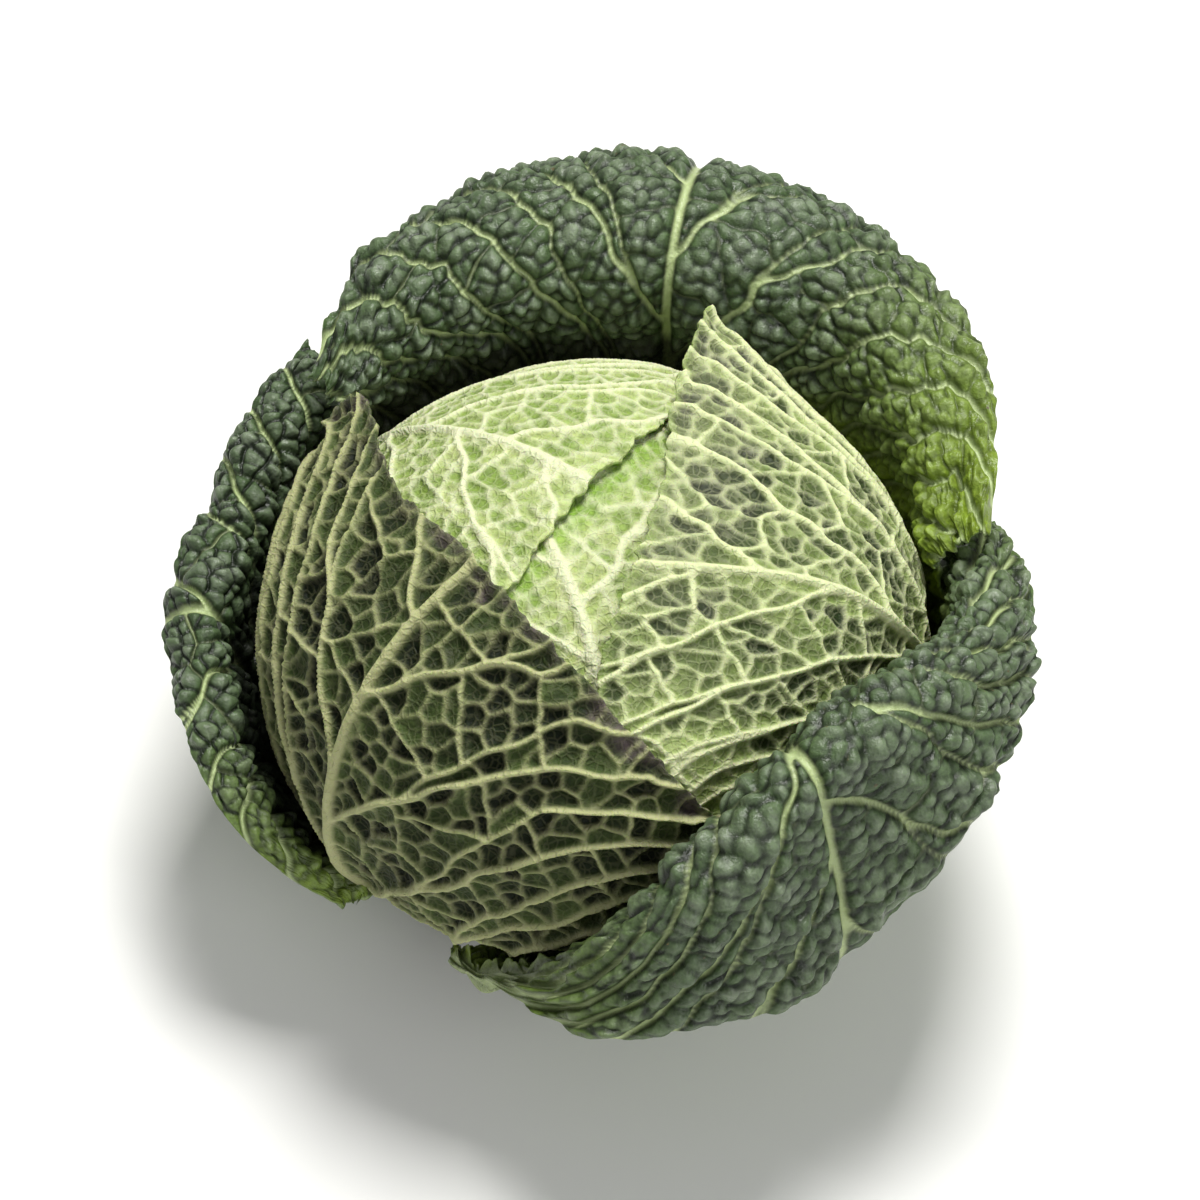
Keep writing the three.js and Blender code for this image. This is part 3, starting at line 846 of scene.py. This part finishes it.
# %% Loose outer leaves
LOOSE = [
    {"name": "back_outer_leaf", "azimuth": 168, "left": 73, "right": 62, "layer": 19,
     "crest": [20, 21, 22, 24, 24, 23, 20], "lean": [2, 4, 6, 6, 6, 5, 2],
     "roll": [10, 18, 22, 25, 23, 18, 13], "fall": [10, -40, -70, -75, -70, -60, 0],
     "reach": [20, 44, 74, 98, 78, 50, 20], "seed": 21,
     "lit_wall": [1, 1, 0.7, 0, 0, 0, 0], "lit_rim": [0.9, 0.55, 0.05, 0, 0, 0, 0]},
    {"name": "front_outer_leaf", "azimuth": 33, "left": 69, "right": 72, "layer": 21.6,
     "crest": [-52, -32, 15, 37, 34, 22, 8], "lean": [0, 0, 0, -1, 0, 1, 3],
     "roll": [6, 7, 8, 9, 9, 8, 8], "fall": [40, -30, -70, -75, -60, -50, -40],
     "reach": [4, 10, 54, 86, 56, 36, 20], "seed": 22,
     "lit_wall": [1, 0.3, 0, 0, 0, 0.5, 1], "lit_rim": [1, 0.5, 0, 0, 0, 0, 0.2]},
    {"name": "left_outer_leaf", "azimuth": -92, "left": 47, "right": 44, "layer": 22,
     "crest": [12, 9, 4, 0, -8, -20, -42], "lean": [8, 6, 4, 5, 4, 3, 0],
     "roll": [7, 7, 7, 7, 7, 7, 7], "fall": [0, -15, -30, -35, -35, -20, 20],
     "reach": [26, 22, 20, 22, 17, 14, 8], "seed": 23,
     "lit_wall": [0, 0, 0, 0, 0, 0.2, 0.5], "lit_rim": [0, 0, 0, 0, 0, 0.3, 0.7]},
]

# %% [markdown]
# ## What the leaves of one kind share
# dense gives the share of the rows and the share of the length that they cover, below the part
# that is seen. teeth and torn are the size and depth of the tears in the margin. pitch, slant and
# forks say where side veins leave the midrib, how steeply, and between which distances they fork.
# field, cell and grain are the spacings of the seeds, and stretch makes cells longer. blister has
# the heights that side veins, fields, cells and grains add, round the share of domes among the
# caps, and pressed how much of a blister is left where another leaf covers this one.

# %% Habits
NOT_TUCKED = (-9, -8)
WRAPPER_HABIT = {
    "dense": (0.2, 0.36), "teeth": 2.6, "torn": 0.7, "tries": 24000, "ruffle": (0.5, 14), "wave": 0.4,
    "belly": 0, "flare": 0, "flare_at": 0, "veer": 0, "grid": (280, 280), "tuck": NOT_TUCKED,
    "pressed": 1.0, "side_vein": 1.05, "stretch": 0.3, "field_veins": 0.7, "forks": (14, 40),
    "trough": 0.3, "round": 0.35, "wander": 0.3, "lit_wall": [0, 0], "lit_rim": [0, 0]}
LOOSE_HABIT = {
    "slot": "outer_leaf", "dense": (0.24, 0.42), "teeth": 5.0, "torn": 0.7, "tries": 30000,
    "ruffle": (1.6, 26), "wave": 1.0, "grid": (312, 250), "tuck": NOT_TUCKED, "pressed": 1.0,
    "pitch": 42, "slant": 2.0, "side_vein": 0.72, "field": 10, "cell": 3.5, "grain": 2.6,
    "blister": (0.6, 1.9, 2.6, 0.0), "rib": 1.7, "ridges": 1.3, "lift": 1.4, "stretch": 0.0,
    "field_veins": 0.45, "forks": (6, 26), "trough": 0.5, "round": 0.7, "wander": 0.4}

# %% Grow them all
WRAPPERS[0]["covered_by"] = {**WRAPPER_HABIT, **WRAPPERS[1]}
for leaf in WRAPPERS + LOOSE:
    habit = LOOSE_HABIT if "crest" in leaf else WRAPPER_HABIT
    leaf = {**habit, **leaf}
    piece = grow(leaf)
    piece.data.materials.append(FINISH[leaf["slot"]])
    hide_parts(leaf["name"])
    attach(piece, "root")
    print(piece.name, len(piece.data.polygons), "faces")

# %% [markdown]
# ## The heart
# The ball of young leaves inside hardly shows, but it isn't smooth: each leaf in it wraps the next,
# so its surface steps down at the leaf margins, which spiral over the top. One turned grid carries
# those steps as a saw-tooth that runs round the stem, and a mask draws pale veins on each leaf.


# %% A turned grid, closed at both ends
CALM_RADIUS = 6.0


def turned(name, columns, profile, lift, masks):
    """Rings of the profile's (radius, height) pairs, each moved outwards by lift(angle, share of the
    way up), less near the axis. The first and last ring close on one point each."""
    radius, height = (np.asarray(column, float)[:, None] for column in zip(*profile))
    angle = np.arange(columns) * 2 * np.pi / columns
    share = np.linspace(0, 1, len(profile))[:, None]
    wide = radius + lift(angle[None], share) * np.minimum(radius / CALM_RADIUS, 1)
    rings = np.stack([wide * np.cos(angle), wide * np.sin(angle), height + 0 * angle], -1)
    middle = rings[[0, -1]].mean(1)
    points = np.concatenate([rings.reshape(-1, 3), middle])
    index = np.arange(len(profile) * columns).reshape(len(profile), columns)
    beside = np.roll(index, -1, axis=1)
    walls_round = np.stack([index[:-1], beside[:-1], beside[1:], index[1:]], -1).reshape(-1, 4)
    foot = np.stack([beside[0], index[0], np.full(columns, len(points) - 2)], -1)
    head = np.stack([index[-1], beside[-1], np.full(columns, len(points) - 1)], -1)
    values = {key: np.concatenate([np.broadcast_to(mask(angle[None], share), index.shape).ravel(), [0, 0]])
              for key, mask in masks.items()}
    return make_object(name, points, [walls_round, foot, head], values)


# %% The heart
SPIRAL_LEAVES = 5
SPIRAL_TWIST = 2.2
STEP_MARGIN = 1.2
heart_beta = np.linspace(0.06, np.pi - 0.02, 150)
heart_rise = HEART_HALF_HEIGHT * signed_power(np.cos(heart_beta), SQUARENESS)
heart_profile = list(zip(HEART_RADIUS * np.sin(heart_beta) ** SQUARENESS - STEP_MARGIN,
                         np.maximum(CENTRE_Z - heart_rise, heart_low[2])))


def leaf_phase(angle, share):
    """How far across its leaf a point is, from 0 to 1: leaves * angle / full turn + twist * share."""
    return (SPIRAL_LEAVES * angle / (2 * np.pi) + SPIRAL_TWIST * share) % 1


def leaf_steps(angle, share):
    """Saw-tooth of the phase: each leaf starts on top of the one before and dives under the next."""
    phase = leaf_phase(angle, share)
    return (1 - phase) * ease(phase, 0.0, 0.04) - 0.5


def heart_veins(angle, share):
    """A midrib where the phase is one half, and side veins where phase * 6 + share * 9 is."""
    phase = leaf_phase(angle, share)
    side = (phase * 6 + share * 9) % 1
    return ridge((phase - 0.5) * 80, 1.6) + 0.6 * ridge((side - 0.5) * 14, 0.8)


def all_lower(angle, share):
    """1 everywhere: the ball shows only lower faces of leaves."""
    return np.ones(np.broadcast(angle, share).shape)


heart = turned("heart_ball", 360, heart_profile, leaf_steps, {"vein": heart_veins, "lower_face": all_lower})
heart.data.materials.append(FINISH["heart"])
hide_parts("heart")
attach(heart, "root")
print("heart:", len(heart.data.polygons), "faces")

# %% [markdown]
# ## The stem
# The stem is what the knife left: a short, woody, pale stump. Each trimmed leaf leaves a curved
# scar across it, one golden angle after the last, and fibres run up its sides. The cut face is
# almost flat, with a ring of bundles between the bark and the pith.

# %% Stem shape, from the middle of the cut face up to the heart
GOLDEN_ANGLE = np.radians(137.5)
SCARS = 6
FOOT_EDGE = 1.2
BARK_INSET = 0.3
foot_radius = STEM_RADIUS - BARK_INSET
neck_radius = STEM_NECK_RADIUS - BARK_INSET
stem_profile = [(2.0, 0.35), (8.0, 0.3), (12.0, 0.15), (STEM_RADIUS - 2.5, 0.0)]
stem_profile += [(STEM_RADIUS - FOOT_EDGE, 0.0), (STEM_RADIUS - 0.6, 0.4), (foot_radius, FOOT_EDGE)]
stem_profile += [(foot_radius, z) for z in np.linspace(1.6, 4, 8)]
stem_profile += [(foot_radius + (neck_radius - foot_radius) * u, 4 + 4 * u) for u in np.linspace(0.1, 1, 10)]
stem_profile += [(neck_radius, z) for z in np.linspace(8.5, STEM_TOP_Z - 0.5, 24)]
stem_profile += [(STEM_NECK_RADIUS - 1.0, STEM_TOP_Z), (6.0, STEM_TOP_Z), (2.0, STEM_TOP_Z)]


def stem_scars(angle, share):
    """A shallow dent for each trimmed leaf: a wide, low ellipse in (angle, share), each one golden
    angle after the last and a little higher."""
    dent = np.zeros(np.broadcast(angle, share).shape)
    for scar in range(SCARS):
        around = (angle - scar * GOLDEN_ANGLE + np.pi) % (2 * np.pi) - np.pi
        up = share - 0.2 - 0.09 * scar
        dent += ridge(np.hypot(around / 0.55, up / 0.045), 1.0)
    return dent


def stem_lift(angle, share):
    """Fibres as fine waves round the stem, minus the scars; nothing on the cut face."""
    side = ease(share, 0.08, 0.14) * (1 - ease(share, 0.92, 0.96))
    fibres = np.sin(angle * 46 + np.sin(share * 20)) * 0.12 + np.sin(angle * 19 + 2) * 0.12
    return (fibres - 0.5 * stem_scars(angle, share)) * side - 0.25


# %% Stem finish: fibrous sides, a cut face with rings
def stem_finish(cut, ring, bark, scar):
    """On the cut face a ring where the distance from the axis is 11 to 15 mm, sqrt(x ** 2 + y ** 2);
    on the sides patches of bark and the scars."""
    n = Nodes("stem")
    split = n.tree.nodes.new("ShaderNodeSeparateXYZ")
    n.link(n.place, split.inputs[0])
    x, y, z = split.outputs
    radial = n.math("SQRT", n.math("ADD", n.math("MULTIPLY", x, x), n.math("MULTIPLY", y, y)))
    uneven = n.math("MULTIPLY", n.noise(4, 3.0), 0.003)
    radial = n.math("ADD", radial, uneven)
    bundles = n.math("MULTIPLY", n.fit(radial, 0.011, 0.0125), n.fit(radial, 0.0135, 0.015, 1.0, 0.0))
    dots = n.fit(n.noise(1.2, 2.0), 0.4, 0.6, 0.2, 0.9)
    face = n.blend(n.math("MULTIPLY", bundles, dots), cut, ring)
    side = n.blend(n.fit(n.noise(2.5, 5.0), 0.35, 0.65), bark, cut)
    side = n.blend(n.math("MULTIPLY", n.mask("scar"), 0.7), side, scar)
    colour = n.blend(n.fit(z, 0.0005, 0.0015), face, side)
    speckle = n.fit(n.noise(0.9, 4.0), 0.3, 0.7, 0.8, 1.12)
    n.link(n.blend(1.0, colour, speckle, "MULTIPLY"), n.shader.inputs["Base Color"])
    n.link(n.fit(n.noise(3), 0.3, 0.7, 0.6, 0.8), n.shader.inputs["Roughness"])
    n.shader.inputs["Subsurface Weight"].default_value = 0.2
    n.shader.inputs["Subsurface Radius"].default_value = (1.0, 1.0, 0.5)
    n.shader.inputs["Subsurface Scale"].default_value = SKIN_DEPTH * MM
    n.link(n.bump(n.noise(1.0, 5.0), 0.3), n.shader.inputs["Normal"])
    return n.material


stem = turned("stem_stump", 288, stem_profile, stem_lift, {"scar": stem_scars})
stem.data.materials.append(stem_finish(cut=(0.62, 0.64, 0.4), ring=(0.3, 0.36, 0.14),
                                       bark=(0.42, 0.47, 0.24), scar=(0.3, 0.24, 0.12)))
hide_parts("stem")
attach(stem, "root")
print("stem:", len(stem.data.polygons), "faces")

# %% [markdown]
# ## Floor, light and camera
# A pale floor, one soft lamp high above and a little behind, a weaker and broader one from the
# front right, and an even sky. The camera looks down at fifty degrees with a long lens, so the
# head stays round.

# %% Floor
FLOOR_SIZE = 6
bpy.ops.mesh.primitive_plane_add(size=FLOOR_SIZE)
floor = bpy.context.object
floor.name = "floor"
paint = bpy.data.materials.new("floor_paint")
paint.use_nodes = True
paint_shader = paint.node_tree.nodes["Principled BSDF"]
paint_shader.inputs["Base Color"].default_value = (0.86, 0.86, 0.85, 1)
paint_shader.inputs["Roughness"].default_value = 0.9
floor.data.materials.append(paint)


# %% Lights
SKY_STRENGTH = 0.3
head_middle = (0, 0, CENTRE_Z * MM)


def lamp(name, place, size, power, colour=(1, 1, 1)):
    """A square area lamp at a place in metres, turned towards the middle of the head."""
    data = bpy.data.lights.new(name, "AREA")
    data.size = size
    data.energy = power
    data.color = colour
    obj = bpy.data.objects.new(name, data)
    obj.location = place
    towards_head = Vector(head_middle) - Vector(place)
    obj.rotation_euler = towards_head.to_track_quat("-Z", "Y").to_euler()
    bpy.context.scene.collection.objects.link(obj)


lamp("key", (0.15, 0.4, 1.4), size=0.5, power=25, colour=(1, 0.99, 0.96))
lamp("fill", (0.7, -1.2, 0.95), size=0.9, power=9)
world = bpy.data.worlds.new("sky")
world.use_nodes = True
sky = world.node_tree.nodes["Background"]
sky.inputs["Color"].default_value = (1, 1, 1, 1)
sky.inputs["Strength"].default_value = SKY_STRENGTH
bpy.context.scene.world = world
bpy.context.scene.view_settings.view_transform = "Standard"

# %% Camera: its axes are the matrix's columns, moved up and right a little to centre the cabbage
ELEVATION = np.radians(50)
DISTANCE = 0.9
MOVED_UP = 0.0108
MOVED_RIGHT = 0.00108
rightwards = np.array([1, 0, 0])
upwards = np.array([0, np.sin(ELEVATION), np.cos(ELEVATION)])
towards = np.array([0, -np.cos(ELEVATION), np.sin(ELEVATION)])
place = np.array(head_middle) + DISTANCE * towards + MOVED_UP * upwards + MOVED_RIGHT * rightwards
axes = np.column_stack([rightwards, upwards, towards, place])
camera_data = bpy.data.cameras.new("camera")
camera_data.lens = 100
camera_data.sensor_width = 36
camera = bpy.data.objects.new("camera", camera_data)
camera.matrix_world = Matrix(np.vstack([axes, [0, 0, 0, 1]]).tolist())
bpy.context.scene.collection.objects.link(camera)
bpy.context.scene.camera = camera
